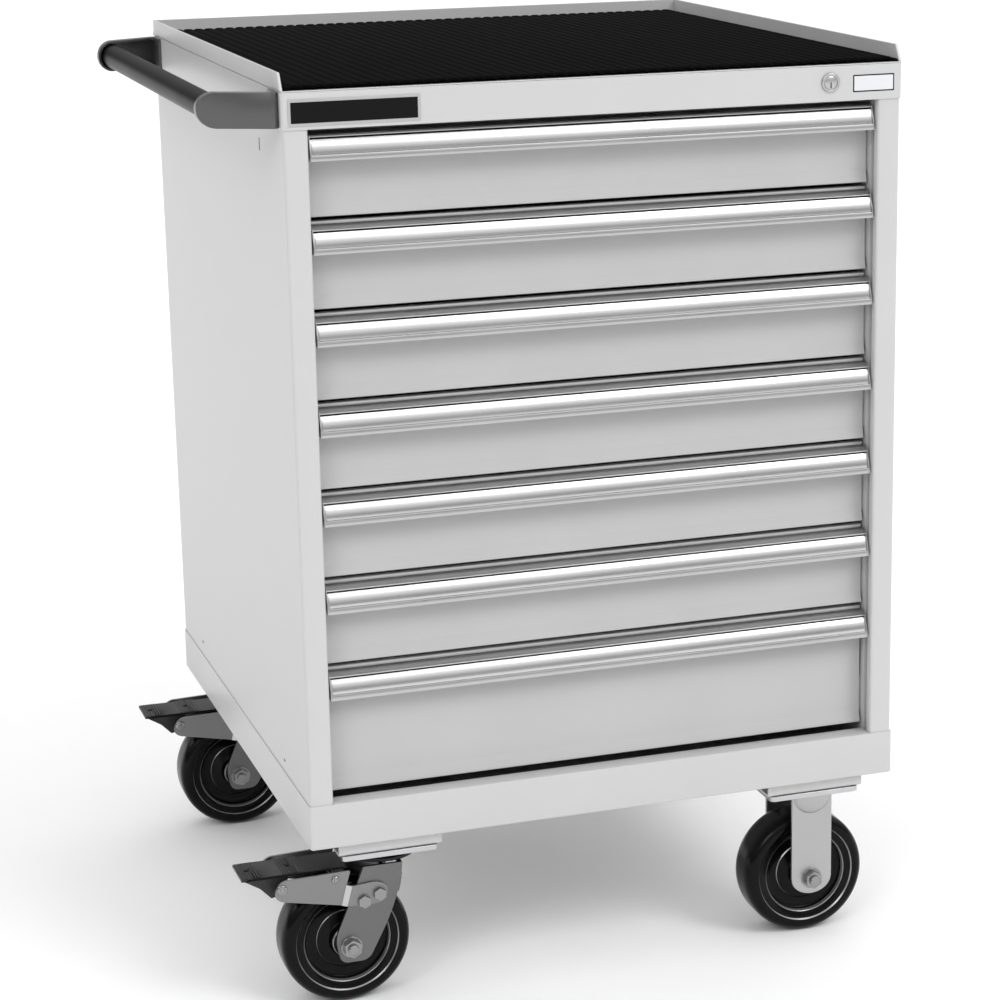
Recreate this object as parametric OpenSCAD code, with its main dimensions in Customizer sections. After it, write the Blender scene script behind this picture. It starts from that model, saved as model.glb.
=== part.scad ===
// Rolling tool chest: welded sheet-steel housing, seven full-extension drawers,
// a lined top tray, a central lock, a push handle and four casters.
// Millimetres, +Z up, drawers open towards -Y. The origin lies on the floor,
// in the middle of the chest's overall footprint.

/* [Housing] */
// Width of the housing, without the handle
body_w = 717.6; // [600:0.1:1100]
// Depth of the housing
body_d = 723.9; // [560:0.1:900]
// Thickness of every folded sheet of the housing
sheet_t = 1.5; // [1:0.1:2]
// Outside radius of the folded corners
fold_r = 4; // [3:0.5:8]
// Height of the base pan
base_h = 52.2; // [40:0.1:80]
// Width of the ledge along the top of the base, behind its front
base_ledge = 24; // [15:1:27]
// Height of the top rail that caps the drawer opening
band_h = 41.2; // [38:0.1:60]
// Depth of the top rail's folded flanges
band_flange = 18; // [10:1:25]
// Height of the tray rim above the top rail
rim_h = 18.7; // [12:0.1:40]
// How far the front end of a side rim leans back
rim_lean = 12; // [0:1:30]
// Width of the front stiles
stile_w = 28.6; // [24:0.1:40]
// Depth of the stile's folded return
stile_lip = 10; // [5:0.5:12]
// How far the side panels reach down into the base pan
panel_tuck = 20; // [10:1:35]
// Thickness of the rubber mat, without its ribs
mat_t = 4.5; // [3:0.5:8]
// Height of the mat's ribs
mat_rib = 1.5; // [0.5:0.5:3]
// Gap between the mat and the tray rims
mat_gap = 1; // [0.5:0.5:3]

/* [Drawers] */
// Height of one drawer cell
cell_h = 100.6; // [85:0.1:140]
// Number of single-height drawers
single_count = 6;
// Height of the bottom drawer cell
deep_cell_h = 150.9; // [120:0.1:260]
// Clear space between the base and the lowest drawer cell
sill_gap = 4.1; // [2:0.1:10]
// Thickness of the drawer sheet
drawer_t = 1.2; // [0.8:0.1:2]
// Side clearance between a drawer front and the stiles
front_gap = 2.5; // [1.5:0.1:5]
// Distance from the housing's front to the drawer fronts
front_recess = 28; // [26:0.5:40]
// Gap from the top of a cell to the top of its drawer front
front_top_gap = 1.6; // [1:0.1:4]
// Gap from the bottom of a cell to the bottom of its drawer front
front_low_gap = 3.4; // [2:0.1:6]
// Height of the kicked-out strip along the bottom of a front
kick_h = 15; // [8:1:25]
// How far that strip leans out
kick_out = 4; // [0:0.5:8]
// Gap from the bottom of a cell to the underside of its drawer box
box_low_gap = 6; // [4:0.5:12]
// Gap from the top of a cell to the top of its drawer box
box_top_gap = 20; // [14:0.5:40]
// Length of a slide member
slide_len = 660; // [450:1:680]
// Height of the housing's slide member
slide_h = 45; // [35:1:55]
// Space between a post and the drawer box, filled by the slide
slide_space = 12.7; // [12:0.1:19]
// Height of the slide's centre line above the bottom of a cell
slide_up = 38; // [32:1:45]
// Thickness of the slide members
slide_t = 1.2; // [1:0.1:1.5]
// Clearance between two slide members
slide_gap = 0.8; // [0.5:0.1:1]

/* [Drawer pulls] */
// How far a pull stands out from its drawer front
pull_out = 23; // [18:0.5:25]
// Height of a pull
pull_h = 32; // [26:0.5:40]
// Gap from the top of a cell to the top of a pull
pull_top_gap = 3; // [2:0.5:6]
// Wall thickness of a pull
pull_t = 2.2; // [1.5:0.1:3]

/* [Handle] */
// How far the handle stands out from the housing
handle_out = 81; // [70:1:140]
// Height of a handle bracket
handle_h = 38; // [30:1:50]
// Distance from a bracket to the nearer end of the housing
handle_inset = 4; // [2:0.5:60]
// How far the outer end of a bracket's plate stands back from its root
handle_slant = 41; // [20:1:60]
// Reach of a bracket's foot along the housing, from the front of the bracket
handle_foot = 46; // [36:1:70]
// Outside diameter of the handle tube
handle_tube_d = 28.6; // [22:0.1:34]
// Wall of the handle tube
handle_tube_t = 2; // [1.5:0.5:4]
// Thickness of a bracket's plate
bracket_t = 3; // [2:0.5:5]
// Depth of the rim around a bracket's plate
bracket_rim = 14; // [8:1:20]

/* [Lock] */
// Distance from the lock's axis to the right side of the housing
lock_inset = 88.6; // [60:0.1:200]
// Radius of the lock's face
lock_face_r = 11; // [9:0.5:14]
// Radius of the turning plug
lock_plug_r = 8; // [6:0.5:8.5]
// How far the lock's face stands out
lock_proud = 2.5; // [1:0.5:4]
// Length of the lock's body behind the top rail
lock_len = 24; // [18:1:40]
// Diameter of the rod that the plug turns
lock_rod_d = 8; // [6:1:10]
// Length of the crank on the end of the rod
crank_r = 6; // [5:0.5:8]
// Thickness of the locking bar
bar_t = 3; // [2:0.5:4]
// Width of the locking bar
bar_w = 24; // [20:1:30]
// Gap between a catch and the drawer's back when unlocked
catch_gap = 3; // [2:0.5:4]

/* [Casters] */
// Diameter of a wheel
wheel_d = 152.4; // [100:0.1:160]
// Width of a wheel's tread
wheel_w = 50.8; // [32:0.1:51]
// Height of a caster, floor to mounting face
caster_h = 190.5; // [185:0.1:230]
// Length of a caster's top plate
plate_l = 114.3; // [110:0.1:130]
// Width of a caster's top plate
plate_w = 101.6; // [95:0.1:115]
// Thickness of a caster's top plate
plate_t = 6.35; // [5:0.01:8]
// Spacing of the plate's holes along the plate
hole_l = 92; // [85:0.1:96]
// Spacing of the plate's holes across the plate
hole_w = 77.8; // [70:0.1:80]
// Diameter of the caster bolts
bolt_d = 9.5; // [8:0.1:10.5]
// Distance from a caster's centre to the side of the housing
caster_x = 95.3; // [90:0.1:200]
// Distance from a caster's centre to the front or back
caster_y = 61; // [61:0.5:150]
// Height of a riser between the base and a caster
riser_h = 16.5; // [10:0.5:40]
// Length of a riser
riser_l = 121.4; // [118:0.1:140]
// Thickness of the fork legs
fork_t = 4; // [3:0.5:6]
// Gap between the two legs of a fork
fork_gap = 58; // [56:0.5:64]
// Diameter of the axle bolt
axle_d = 12.7; // [10:0.1:14]
// Running clearance on a radius
run_gap = 0.05; // [0.02:0.01:0.1]
// Distance a swivel wheel trails behind its kingpin
trail = 48; // [36:1:50]
// Diameter of the kingpin
kingpin_d = 16; // [12:0.5:20]
// Radius of the swivel raceway
raceway_r = 42; // [36:0.5:46]

/* [Brake] */
// Length of the brake pedal's pad
pedal_l = 73; // [50:1:90]
// Width of the brake pedal's pad
pedal_w = 50; // [40:1:52]
// Diameter of the brake's pivot pin
pivot_d = 8; // [6:0.5:10]
// Distance from the kingpin to the pedal's pivot
pivot_x = 126; // [120:1:150]
// Height of the pedal's pivot above the floor
pivot_z = 157; // [150:1:160]
// Thickness of the brake's side plates
arm_t = 3; // [2:0.5:4]

/* [Hidden] */
$fn = 48;
drawer_count = single_count + 1;
opening_h = sill_gap + deep_cell_h + single_count * cell_h;
base_z = caster_h + riser_h;
sill_z = base_z + base_h;
band_z = sill_z + opening_h;
top_z = band_z + band_h;
wheel_r = wheel_d / 2;
handle_z = top_z - 1.5 - handle_h / 2;
handle_x = handle_h / 2 - handle_out;
origin_x = (body_w - handle_out) / 2;
origin_y = (body_d - lock_proud) / 2;
eps = 0.01;

// Drawers are numbered from the top: 1 to single_count are single, the last is deep
function cell_size(i) = i < drawer_count ? cell_h : deep_cell_h;
function cell_z(i) = sill_z + sill_gap + (i < drawer_count ? deep_cell_h + (single_count - i) * cell_h : 0);

front_w = body_w - 2 * stile_w - 2 * front_gap;
box_x = stile_w + slide_space;
box_w = body_w - 2 * box_x;
box_y = front_recess + drawer_t;
slide_y = front_recess + drawer_t + 1.8;
box_back = slide_y + slide_len + 4;
rear_y = body_d - 2 * sheet_t;

lock_x = body_w - lock_inset;
lock_z = band_z + band_h / 2 + 1;
bar_y = box_back + 9;
bar_drop = 2 * crank_r * sin(45);
crank_pin_d = 4;
catch_w = 30;

fork_out = fork_gap / 2 + fork_t;
plate_z = caster_h - plate_t;
race_gap = 0.5;
axle_r = axle_d / 2;

// ---- shared shapes ----

// Everything is drawn from the housing's front left corner, then moved to the origin
module placed() {
    translate([-origin_x, -origin_y, 0]) children();
}

module rounded_rect(w, d, r) {
    translate([r, 0]) square([w - 2 * r, d]);
    translate([0, r]) square([w, d - 2 * r]);
    for (x = [r, w - r], y = [r, d - r]) translate([x, y]) circle(r = r);
}

// A closed band of sheet, seen from above
module sheet_ring(w, d, r, t) {
    difference() {
        rounded_rect(w, d, r);
        translate([t, t]) rounded_rect(w - 2 * t, d - 2 * t, r - t);
    }
}

module mirror_x(on) {
    if (on) translate([body_w, 0, 0]) mirror([1, 0, 0]) children();
    else children();
}

// Places a child at each caster: left ones swivel, right ones are rigid
module at_caster(left, front) {
    x = left ? caster_x : body_w - caster_x;
    y = front ? caster_y : body_d - caster_y;
    translate([x, y, 0]) children();
}

module y_rod(r, length) {
    rotate([-90, 0, 0]) cylinder(r = r, h = length);
}

// ---- housing ----

module side_panel(right) {
    low = sill_z - panel_tuck;
    placed() mirror_x(right) translate([0, 0, low]) {
        linear_extrude(top_z - sheet_t - low) intersection() {
            translate([sheet_t, sheet_t])
                sheet_ring(body_w - 2 * sheet_t, rear_y - sheet_t, fold_r, sheet_t);
            square([stile_w, body_d]);
        }
        translate([stile_w - sheet_t, sheet_t, panel_tuck])
            cube([sheet_t, stile_lip, opening_h]);
    }
}

module side_panel_left() {
    color("gainsboro") side_panel(false);
}

module side_panel_right() {
    color("gainsboro") side_panel(true);
}

module back_panel() {
    low = base_z + base_h - panel_tuck;
    guide_z = [cell_z(drawer_count) + 40, cell_z(2) + 40];
    color("silver") placed() {
        translate([0, 0, low]) linear_extrude(top_z - sheet_t - low) intersection() {
            translate([sheet_t, sheet_t])
                rounded_rect(body_w - 2 * sheet_t, body_d - 2 * sheet_t, fold_r - sheet_t);
            translate([0, rear_y]) square([body_w, sheet_t]);
        }
        for (z = guide_z, side = [-1, 1]) bar_guide(z, side);
    }
}

// One cheek of a guide that keeps the locking bar in line
module bar_guide(z, side) {
    guide_w = 6;
    cheek_gap = 0.5;
    inner = bar_w / 2 + cheek_gap;
    lip = 4;
    x0 = lock_x + (side > 0 ? inner : -inner - guide_w);
    x1 = lock_x + (side > 0 ? inner - lip : -inner - guide_w);
    translate([x0, bar_y - 3, z]) cube([guide_w, rear_y - bar_y + 3, 20]);
    translate([x1, bar_y - 3, z]) cube([guide_w + lip, 2, 20]);
}

module base_pan() {
    color("gainsboro") placed() translate([0, 0, base_z]) {
        linear_extrude(base_h) sheet_ring(body_w, body_d, fold_r, sheet_t);
        linear_extrude(sheet_t) rounded_rect(body_w, body_d, fold_r);
        translate([stile_w, sheet_t, base_h - sheet_t])
            cube([body_w - 2 * stile_w, base_ledge, sheet_t]);
        translate([stile_w, base_ledge, base_h - sheet_t - 12])
            cube([body_w - 2 * stile_w, sheet_t, 12]);
    }
}

// Folded rail round the top: a front channel with wings down both sides
module top_rail() {
    color("gainsboro") placed() translate([0, 0, band_z]) difference() {
        union() {
            linear_extrude(band_h - sheet_t) intersection() {
                sheet_ring(body_w, body_d + 2 * fold_r, fold_r, sheet_t);
                square([body_w, body_d]);
            }
            translate([stile_w, sheet_t, 0]) cube([body_w - 2 * stile_w, band_flange, sheet_t]);
        }
        translate([lock_x, -1, lock_z - band_z]) y_rod(lock_face_r - 2, 10);
    }
}

module top_tray() {
    lug_y = bar_y - 26;
    rim_t = 2 * sheet_t;
    color("gainsboro") placed() {
        translate([0, 0, top_z - sheet_t]) linear_extrude(sheet_t) rounded_rect(body_w, body_d, fold_r);
        // Side rims with a leaning front end
        for (x = [0, body_w - rim_t]) translate([x, 0, top_z]) rotate([90, 0, 90]) linear_extrude(rim_t)
            polygon([[1.5, 0], [1.5 + rim_lean, rim_h], [body_d - fold_r, rim_h], [body_d - fold_r, 0]]);
        // Rear rim
        translate([0, 0, top_z]) linear_extrude(rim_h) intersection() {
            sheet_ring(body_w, body_d, fold_r, rim_t);
            translate([0, body_d - fold_r]) square([body_w, fold_r]);
        }
        // Hanger for the rear end of the lock rod
        translate([lock_x - 10, lug_y, lock_z - 12]) difference() {
            cube([20, 3, top_z - sheet_t - lock_z + 12]);
            translate([10, -1, 12]) y_rod(lock_rod_d / 2 + run_gap, 5);
        }
    }
}

module rubber_mat() {
    rim_t = 2 * sheet_t;
    rib_pitch = 14;
    rib_w = 8;
    w = body_w - 2 * rim_t - 2 * mat_gap;
    d = body_d - rim_t - mat_gap - 3;
    ribs = floor((w - rib_w) / rib_pitch);
    margin = (w - ribs * rib_pitch - rib_w) / 2;
    color([0.1, 0.1, 0.1]) placed() translate([rim_t + mat_gap, 3, top_z]) {
        cube([w, d, mat_t]);
        for (i = [0:ribs]) translate([margin + i * rib_pitch, 3, mat_t]) cube([rib_w, d - 6, mat_rib]);
    }
}

// Upright channels that carry the slides
module rail_posts() {
    post_d = 40;
    flange = stile_w - 2 * sheet_t - 0.2;
    low = base_z + sheet_t;
    color("silver") placed() for (right = [false, true], y = [20, slide_y + slide_len - post_d - 6])
        mirror_x(right) translate([stile_w - sheet_t, y, low]) {
            cube([sheet_t, post_d, top_z - sheet_t - low]);
            for (dy = [0, post_d - sheet_t]) translate([-flange + sheet_t, dy, 0])
                cube([flange - sheet_t, sheet_t, top_z - sheet_t - low]);
        }
}

// ---- slides ----

// A C-shaped member: web against x = 0, flanges towards +x
module c_member(height, depth) {
    translate([0, 0, -height / 2]) cube([slide_t, slide_len, height]);
    for (z = [-height / 2, height / 2 - slide_t]) translate([0, 0, z]) cube([depth, slide_len, slide_t]);
}

module slide_pair(x, z) {
    placed() for (right = [false, true]) mirror_x(right) translate([x, slide_y, z]) children();
}

outer_depth = slide_space - slide_gap - slide_t - 0.7;
middle_h = slide_h - 2 * slide_t - 2 * slide_gap;
middle_x = stile_w + slide_t + slide_gap;
middle_depth = slide_space - 2 * slide_t - 2 * slide_gap - 0.3;
inner_h = middle_h - 2 * slide_t - 2 * slide_gap;
inner_depth = slide_space - 2 * slide_t - 2 * slide_gap;

module cabinet_rails() {
    color("silver") for (i = [1:drawer_count])
        slide_pair(stile_w, cell_z(i) + slide_up) c_member(slide_h, outer_depth);
}

module middle_rails(i) {
    color("silver") slide_pair(middle_x, cell_z(i) + slide_up) c_member(middle_h, middle_depth);
}

module drawer_rails(i) {
    color("silver") slide_pair(box_x, cell_z(i) + slide_up) mirror([1, 0, 0]) c_member(inner_h, inner_depth);
}

// ---- drawers ----

module drawer_box(i) {
    h = cell_size(i);
    front_top = h - front_top_gap;
    side_top = h - box_top_gap;
    back_y = box_back - drawer_t;
    color("lightgray") placed() translate([0, 0, cell_z(i)]) {
        // Front, with its bottom strip kicked out
        translate([stile_w + front_gap, 0, 0]) rotate([90, 0, 90]) linear_extrude(front_w) polygon([
            [front_recess, front_top],
            [front_recess, front_low_gap + kick_h],
            [front_recess - kick_out, front_low_gap],
            [front_recess - kick_out + drawer_t, front_low_gap],
            [front_recess + drawer_t, front_low_gap + kick_h],
            [front_recess + drawer_t, front_top]
        ]);
        // Box
        for (x = [box_x, box_x + box_w - drawer_t]) translate([x, box_y, box_low_gap])
            cube([drawer_t, back_y + drawer_t - box_y, side_top - box_low_gap]);
        translate([box_x, back_y, box_low_gap]) cube([box_w, drawer_t, side_top - box_low_gap]);
        translate([box_x, box_y - eps, box_low_gap]) cube([box_w, back_y - box_y + drawer_t, drawer_t]);
        // Return flange along the top of the front
        translate([box_x, box_y - eps, side_top - drawer_t]) cube([box_w, 12, drawer_t]);
    }
}

// Hooded extrusion, open underneath for the fingers
module drawer_pull(i) {
    top = cell_size(i) - pull_top_gap;
    low = top - pull_h;
    face_y = front_recess - pull_out;
    back_y = front_recess - pull_t;
    bulge_r = 34;
    color("whitesmoke") placed() translate([stile_w + front_gap, 0, cell_z(i)])
        rotate([90, 0, 90]) linear_extrude(front_w) difference() {
            intersection() {
                polygon([
                    [front_recess, top],
                    [front_recess - 4, top - 0.5],
                    [front_recess - 13, top - 3.8],
                    [front_recess - 15.5, top - 5],
                    [face_y - 1, top - 8],
                    [face_y - 1, low],
                    [front_recess, low]
                ]);
                translate([face_y + bulge_r - 0.5, low + 4]) circle(r = bulge_r, $fn = 96);
            }
            // Finger hollow
            polygon([
                [face_y + pull_t + 1, low - 1],
                [face_y + pull_t + 1.4, low + 7],
                [face_y + pull_t + 3.8, top - 16],
                [face_y + pull_t + 7.4, top - 10],
                [back_y - 5, top - 5.5],
                [back_y, top - 7],
                [back_y, low - 1]
            ]);
            // Slot above the face strip
            translate([face_y + 5, top - 8]) square([4, 1.2]);
            // Shadow line above the lower lip
            translate([face_y - 1, low + 7]) square([1.7, 0.6]);
        }
}

// ---- handle ----

// Outline of a bracket's plate, with a round outer end; u runs out from the housing
module bracket_outline(grow) {
    r = handle_h / 2 + grow;
    translate([0, -r]) square([handle_out - handle_h / 2, 2 * r]);
    translate([handle_out - handle_h / 2, 0]) circle(r = r);
}

// Front face of a bracket's plate, seen from above, at a distance u from the housing
function plate_y(u) = handle_inset + handle_slant * u / handle_out;

// Slanting strip seen from above, between two offsets behind the plate's face
module slant_strip(from, to, u0) {
    polygon([
        [-u0, plate_y(u0) + from],
        [-handle_out - 1, plate_y(handle_out + 1) + from],
        [-handle_out - 1, plate_y(handle_out + 1) + to],
        [-u0, plate_y(u0) + to]
    ]);
}

module bracket_prism(grow) {
    translate([0, 0, handle_z]) rotate([90, 0, 180])
        linear_extrude(handle_inset + handle_slant + 2 * bracket_rim) bracket_outline(grow);
}

module handle_bracket() {
    lean = atan(handle_slant / handle_out);
    plate_dy = bracket_t / cos(lean);
    bend_r = 2 * bracket_t;
    bend_y = plate_y(bend_r) + bend_r / cos(lean);
    difference() {
        intersection() {
            bracket_prism(0);
            translate([0, 0, handle_z - handle_h]) linear_extrude(2 * handle_h) {
                slant_strip(0, bracket_rim, bend_r * (1 + sin(lean)));
                translate([-bend_r, bend_y]) circle(r = bend_r);
                translate([-3 * bend_r, bend_y]) square([3 * bend_r, bracket_rim - bend_r]);
            }
        }
        intersection() {
            bracket_prism(-bracket_t);
            translate([0, 0, handle_z - handle_h]) linear_extrude(2 * handle_h)
                slant_strip(plate_dy, 3 * bracket_rim, bracket_t);
        }
    }
    translate([-bracket_t, bend_y, handle_z - handle_h / 2])
        cube([bracket_t, handle_inset + handle_foot - bend_y, handle_h]);
}

module handle_brackets() {
    color([0.15, 0.15, 0.15]) placed() {
        handle_bracket();
        translate([0, body_d, 0]) mirror([0, 1, 0]) handle_bracket();
    }
}

// Tube between the brackets, with its ends cut to lie flat on the slanting plates
module handle_bar() {
    lean = atan(handle_slant / handle_out);
    plate_dy = bracket_t / cos(lean);
    color([0.2, 0.2, 0.2]) placed() difference() {
        translate([handle_x, 0, handle_z]) difference() {
            y_rod(handle_tube_d / 2, body_d);
            translate([0, -1, 0]) y_rod(handle_tube_d / 2 - handle_tube_t, body_d + 2);
        }
        for (rear = [false, true]) translate([0, rear ? body_d : 0, 0]) mirror([0, rear ? 1 : 0, 0])
            translate([0, 0, handle_z - handle_h]) linear_extrude(2 * handle_h)
                slant_strip(-2 * handle_slant - 50, plate_dy, 0);
    }
}

// ---- lock ----

module lock_body() {
    color("silver") placed() translate([lock_x, 0, lock_z]) difference() {
        union() {
            translate([0, -lock_proud, 0]) y_rod(lock_face_r, lock_proud);
            y_rod(lock_face_r - 2, lock_len);
        }
        translate([0, -lock_proud - 1, 0]) y_rod(lock_plug_r + run_gap, lock_len + lock_proud + 2);
    }
}

module lock_plug() {
    slot_w = 1.6;
    slot_h = 8;
    color("silver") placed() translate([lock_x, 0, lock_z]) difference() {
        translate([0, -lock_proud, 0]) y_rod(lock_plug_r, lock_len + lock_proud + 2);
        translate([-slot_w / 2, -lock_proud - 1, -slot_h + 1]) cube([slot_w, 13, slot_h]);
        // Square socket for the rod
        translate([0, lock_len - 8, 0]) y_rod(lock_rod_d / 2, 20);
    }
}

// Rod from the plug to the back, ending in a crank that works the locking bar
module lock_rod() {
    start = lock_len - 8;
    crank_y = bar_y - 6;
    pin = [crank_r * cos(45), crank_r * sin(45)];
    color("silver") placed() translate([lock_x, 0, lock_z]) {
        translate([0, start, 0]) y_rod(lock_rod_d / 2, crank_y - start);
        translate([0, crank_y, 0]) y_rod(crank_r + crank_pin_d, 4);
        translate([pin[0], crank_y + 4 - eps, pin[1]]) y_rod(crank_pin_d / 2, 6);
    }
}

// Upright bar behind the drawers, with one down-turned catch above each drawer's back
module lock_bar() {
    slot_clear = 0.5;
    pin_x = crank_r * cos(45);
    pin_z = crank_r * sin(45);
    slot_x = pin_x - crank_pin_d / 2 - 1;
    bar_low = cell_z(drawer_count) + deep_cell_h - box_top_gap + catch_gap;
    bar_top = lock_z + 12;
    hook_y = box_back - drawer_t - 3;
    hook_t = 2;
    color("silver") placed() {
        translate([lock_x, 0, 0]) difference() {
            translate([-bar_w / 2, bar_y, bar_low]) cube([bar_w, bar_t, bar_top - bar_low]);
            translate([slot_x, bar_y - 1, lock_z + pin_z - crank_pin_d / 2 - slot_clear])
                cube([crank_r + crank_pin_d - pin_x + 2, bar_t + 2, crank_pin_d + 2 * slot_clear]);
        }
        for (i = [1:drawer_count]) {
            back_top = cell_z(i) + cell_size(i) - box_top_gap;
            arm_z = back_top + catch_gap + bar_drop;
            translate([lock_x - catch_w / 2, hook_y - hook_t, arm_z])
                cube([catch_w, bar_y + bar_t - hook_y + hook_t, hook_t]);
            translate([lock_x - catch_w / 2, hook_y - hook_t, back_top + catch_gap])
                cube([catch_w, hook_t, arm_z - back_top - catch_gap + hook_t]);
        }
    }
}

// ---- casters ----

module caster_risers() {
    color("gainsboro") placed() for (left = [true, false], front = [true, false]) at_caster(left, front)
        translate([-riser_l / 2, -plate_w / 2, caster_h]) riser();
}

// Channel riser, open at its ends, welded under the base
module riser() {
    wall = 3;
    difference() {
        cube([riser_l, plate_w, riser_h]);
        translate([-1, wall, wall]) cube([riser_l + 2, plate_w - 2 * wall, riser_h]);
        bolt_holes(-1, wall + 2);
    }
}

module bolt_holes(z, h) {
    for (x = [-1, 1], y = [-1, 1])
        translate([riser_l / 2 + x * hole_l / 2, plate_w / 2 + y * hole_w / 2, z])
            cylinder(d = bolt_d + 1, h = h);
}

module top_plate() {
    corner = 6;
    difference() {
        translate([-plate_l / 2, -plate_w / 2, plate_z])
            linear_extrude(plate_t) rounded_rect(plate_l, plate_w, corner);
        translate([-riser_l / 2, -plate_w / 2, plate_z]) bolt_holes(-1, plate_t + 2);
    }
}

// Fixed half of a swivel caster: mounting plate, upper raceway and kingpin
module swivel_plates() {
    color("lightsteelblue") placed() for (front = [true, false]) at_caster(true, front) {
        top_plate();
        translate([0, 0, plate_z - 5]) cylinder(r = raceway_r - 8, h = 5);
        translate([0, 0, king_low]) cylinder(d = kingpin_d, h = plate_z - king_low);
        translate([0, 0, king_low]) cylinder(d = kingpin_d + 10, h = 4);
    }
}

crown_top = plate_z - 5 - race_gap;
crown_low = crown_top - 5;
king_low = crown_low - 3 - race_gap - 4;

// Outline of a swivel fork's leg in x and z: it slants from the crown to the axle
module swivel_leg() {
    foot = 8;
    polygon([
        [-31.5, crown_low + 2],
        [-38, pivot_z - 2.85 - race_gap],
        [-trail - 18.5, wheel_r + 11],
        [-trail - 10 - foot * 0.9, wheel_r - 11],
        [-trail - 10, wheel_r - 19],
        [-trail + 17, wheel_r - 19],
        [-trail + 17 + foot * 0.9, wheel_r - 11],
        [5.5, crown_low - 54],
        [14.4, crown_low - 15],
        [14.4, crown_low + 2]
    ]);
    for (x = [-trail - 10, -trail + 17]) translate([x, wheel_r - 11]) circle(r = foot);
}

module swivel_fork(front) {
    color("lightsteelblue") placed() at_caster(true, front) difference() {
        union() {
            for (side = [-1, 1]) translate([0, side > 0 ? fork_out : -fork_gap / 2, 0])
                rotate([90, 0, 0]) linear_extrude(fork_t) swivel_leg();
            translate([0, 0, crown_low]) cylinder(r = raceway_r, h = 5);
            translate([0, 0, crown_low - 3]) cylinder(r = raceway_r - 9, h = 4);
        }
        translate([0, 0, crown_low - 20]) cylinder(r = kingpin_d / 2 + run_gap, h = 40);
        translate([-trail, -fork_out - 1, wheel_r]) y_rod(axle_r, 2 * fork_out + 2);
    }
}

module rigid_forks() {
    leg_w = 50;
    color("lightsteelblue") placed() for (front = [true, false]) at_caster(false, front) difference() {
        union() {
            top_plate();
            for (side = [-1, 1]) translate([0, side > 0 ? fork_out : -fork_gap / 2, 0])
                rotate([90, 0, 0]) linear_extrude(fork_t) {
                    translate([-leg_w / 2, wheel_r]) square([leg_w, plate_z - wheel_r + eps]);
                    translate([0, wheel_r]) circle(r = leg_w / 2);
                }
        }
        translate([0, -fork_out - 1, wheel_r]) y_rod(axle_r, 2 * fork_out + 2);
    }
}

// Axle bolt with a hexagon head in front and a nut behind
module axle_bolt() {
    head = 8;
    across = 19 / cos(30);
    translate([0, -fork_out, wheel_r]) y_rod(axle_r, 2 * fork_out);
    translate([0, -fork_out - head, wheel_r]) rotate([-90, 0, 0]) cylinder(d = across, h = head, $fn = 6);
    translate([0, fork_out, wheel_r]) rotate([-90, 0, 0]) cylinder(d = across, h = head, $fn = 6);
}

module swivel_axle(front) {
    color("silver") placed() at_caster(true, front) translate([-trail, 0, 0]) axle_bolt();
}

module rigid_axle_bolts() {
    color("silver") placed() for (front = [true, false]) at_caster(false, front) axle_bolt();
}

// Moulded wheel: crowned tread, dished sides and a hub that runs on the axle bolt
module wheel(left, front) {
    half = wheel_w / 2;
    hub_half = fork_gap / 2 - 0.6;
    shoulder = 9;
    rim_in = wheel_r - 17;
    hub_r = 19;
    web_half = half - 9;
    side = [
        [axle_r + run_gap, hub_half],
        [hub_r - 4, hub_half],
        [hub_r, hub_half - 3],
        [hub_r + 3, web_half],
        [rim_in - 4, web_half],
        [rim_in, half - 3],
        [rim_in + 3, half - 0.6],
        [wheel_r - shoulder, half],
        [wheel_r - 4, half - 2.5],
        [wheel_r - 1.2, half - 7],
        [wheel_r, half - 14]
    ];
    other = [for (i = [len(side) - 1:-1:0]) [side[i][0], -side[i][1]]];
    color([0.12, 0.12, 0.12]) placed() at_caster(left, front)
        translate([left ? -trail : 0, 0, wheel_r]) rotate([-90, 0, 0])
            rotate_extrude($fn = 96) polygon(concat(side, other));
}

// ---- brakes ----

arm_in = fork_gap / 2;
pin_x = -pivot_x;

// Side plate of the brake, in line with the fork leg and stopping short of it
module arm_outline() {
    polygon([
        [pin_x, pivot_z + 10],
        [-46, pivot_z + 12],
        [-57, pivot_z - 28],
        [pin_x - 2, pivot_z - 13],
        [pin_x - 8, pivot_z]
    ]);
    translate([pin_x, pivot_z]) circle(r = 10);
}

// Strip where the side plate is joggled out round the leg
module joggle_outline() {
    polygon([[-63, pivot_z - 29], [-56, pivot_z - 29], [-45, pivot_z - 6], [-52, pivot_z - 6]]);
}

// Tab that is bolted to the outside of the fork leg
module tab_outline() {
    polygon([[-63, pivot_z - 29], [-52, pivot_z - 6], [-14, pivot_z - 6], [-14, pivot_z - 27]]);
    translate([-14, pivot_z - 16.5]) circle(r = 10.5);
}

module brake_bracket(front) {
    bolts = [[-32, pivot_z - 25.5], [-14, pivot_z - 18.5]];
    web_z = pivot_z + 8;
    color("lightsteelblue") placed() at_caster(true, front) {
        for (side = [-1, 1]) mirror([0, side > 0 ? 1 : 0, 0]) {
            translate([0, -arm_in, 0]) rotate([90, 0, 0]) linear_extrude(arm_t) arm_outline();
            translate([0, -arm_in, 0]) rotate([90, 0, 0])
                linear_extrude(fork_out + arm_t - arm_in) joggle_outline();
            translate([0, -fork_out, 0]) rotate([90, 0, 0]) linear_extrude(arm_t) tab_outline();
            for (b = bolts) translate([b[0], -fork_out - arm_t, b[1]]) rotate([90, 0, 0])
                cylinder(d = 13 / cos(30), h = 5, $fn = 6);
        }
        // Web that joins the two plates
        translate([-trail - 46, -arm_in, web_z]) cube([44, 2 * arm_in, 2.5]);
        // Pivot pin
        translate([pin_x, -arm_in - arm_t - 2, pivot_z]) y_rod(pivot_d / 2, 2 * (arm_in + arm_t + 2));
    }
}

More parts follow.
